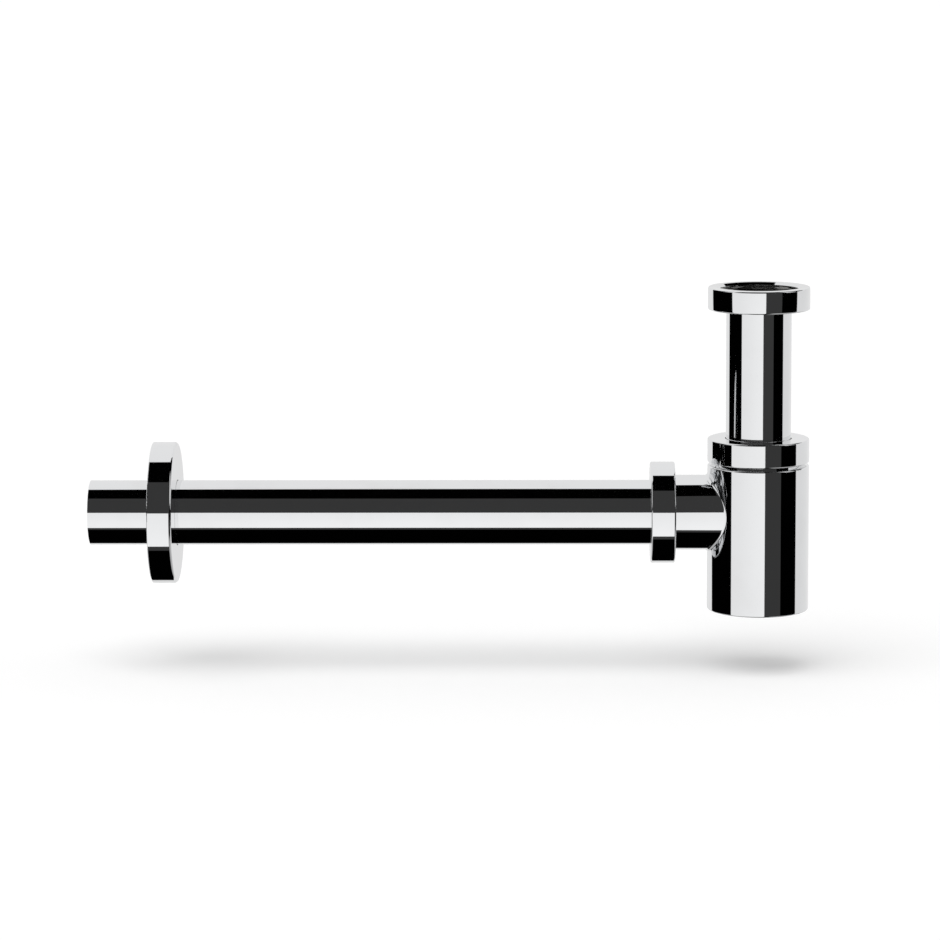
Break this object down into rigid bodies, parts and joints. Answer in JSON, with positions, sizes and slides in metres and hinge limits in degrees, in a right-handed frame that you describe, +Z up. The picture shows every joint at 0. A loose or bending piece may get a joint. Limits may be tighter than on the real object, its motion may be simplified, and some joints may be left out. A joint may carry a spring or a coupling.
{
  "type": "bottle trap",
  "caption": "Round chromed bottle trap for a basin: inlet union, height-adjustable dip tube, cup, side outlet with long wall pipe and deep wall flange.",
  "frame": {"origin": "centre of the inlet washer's top face, inside the inlet nut's thread, where the basin waste's tail lands", "axes": "+Z up along the dip tube, -X along the wall pipe towards the wall, +Y away from a viewer who has the wall pipe on the left"},
  "size_m": [0.3563, 0.07, 0.1606],
  "materials": {
    "chrome": "mirror polished chrome on brass",
    "black_rubber": "matt moulded rubber",
    "white_nylon": "matt nylon"
  },
  "bodies": {
    "inlet_tube": {"dip_tube": "chrome", "inlet_washer": "black_rubber"},
    "inlet_ring": {"inlet_slip_ring": "white_nylon"},
    "inlet_nut": {"inlet_nut": "chrome"},
    "gland": {"tube_seal": "black_rubber"},
    "trap": {"trap_body": "chrome", "outlet_seal": "black_rubber"},
    "body_ring": {"body_slip_ring": "white_nylon"},
    "body_nut": {"body_nut": "chrome"},
    "plug_seal": {"base_plug_seal": "black_rubber"},
    "base_plug": {"base_plug": "chrome"},
    "outlet_ring": {"outlet_slip_ring": "white_nylon"},
    "outlet_nut": {"outlet_nut": "chrome"},
    "wall_pipe": {"wall_pipe": "chrome"},
    "wall_flange": {"wall_flange": "chrome", "flange_grip_ring": "black_rubber"}
  },
  "joints": [
    {"name": "inlet_nut_drop", "type": "slide", "parent": "inlet_tube", "child": "inlet_ring", "axis": [0, 0, -1], "range_m": [0, 0.05]},
    {"name": "inlet_nut_spin", "type": "hinge", "parent": "inlet_ring", "child": "inlet_nut", "pos_m": [0, 0, 0], "axis": [0, 0, 1], "continuous": true},
    {"name": "height_adjust", "type": "slide", "parent": "inlet_tube", "child": "gland", "axis": [0, 0, 1], "range_m": [-0.012, 0.0035]},
    {"name": "body_swivel", "type": "hinge", "parent": "gland", "child": "trap", "pos_m": [0, 0, -0.1083], "axis": [0, 0, 1], "continuous": true},
    {"name": "body_nut_rise", "type": "slide", "parent": "trap", "child": "body_ring", "axis": [0, 0, 1], "range_m": [0, 0.007]},
    {"name": "body_nut_turn", "type": "hinge", "parent": "body_ring", "child": "body_nut", "pos_m": [0, 0, -0.0763], "axis": [0, 0, 1], "range_deg": [0, 1080]},
    {"name": "plug_travel", "type": "slide", "parent": "trap", "child": "plug_seal", "axis": [0, 0, -1], "range_m": [0, 0.0046]},
    {"name": "plug_turn", "type": "hinge", "parent": "plug_seal", "child": "base_plug", "pos_m": [0, 0, -0.1566], "axis": [0, 0, -1], "range_deg": [0, 1080]},
    {"name": "outlet_nut_travel", "type": "slide", "parent": "trap", "child": "outlet_ring", "axis": [-1, 0, 0], "range_m": [0, 0.007]},
    {"name": "outlet_nut_turn", "type": "hinge", "parent": "outlet_ring", "child": "outlet_nut", "pos_m": [-0.048, 0, -0.1083], "axis": [-1, 0, 0], "range_deg": [0, 1080]},
    {"name": "pipe_reach", "type": "slide", "parent": "trap", "child": "wall_pipe", "axis": [1, 0, 0], "range_m": [-0.01, 0.007]},
    {"name": "flange_slide", "type": "slide", "parent": "wall_pipe", "child": "wall_flange", "axis": [1, 0, 0], "range_m": [-0.028, 0.215]}
  ],
  "couplings": [
    {"joint": "body_nut_rise", "follows": "body_nut_turn", "m_per_rad": 0.00036749},
    {"joint": "plug_travel", "follows": "plug_turn", "m_per_rad": 0.00023873},
    {"joint": "outlet_nut_travel", "follows": "outlet_nut_turn", "m_per_rad": 0.00036749}
  ]
}
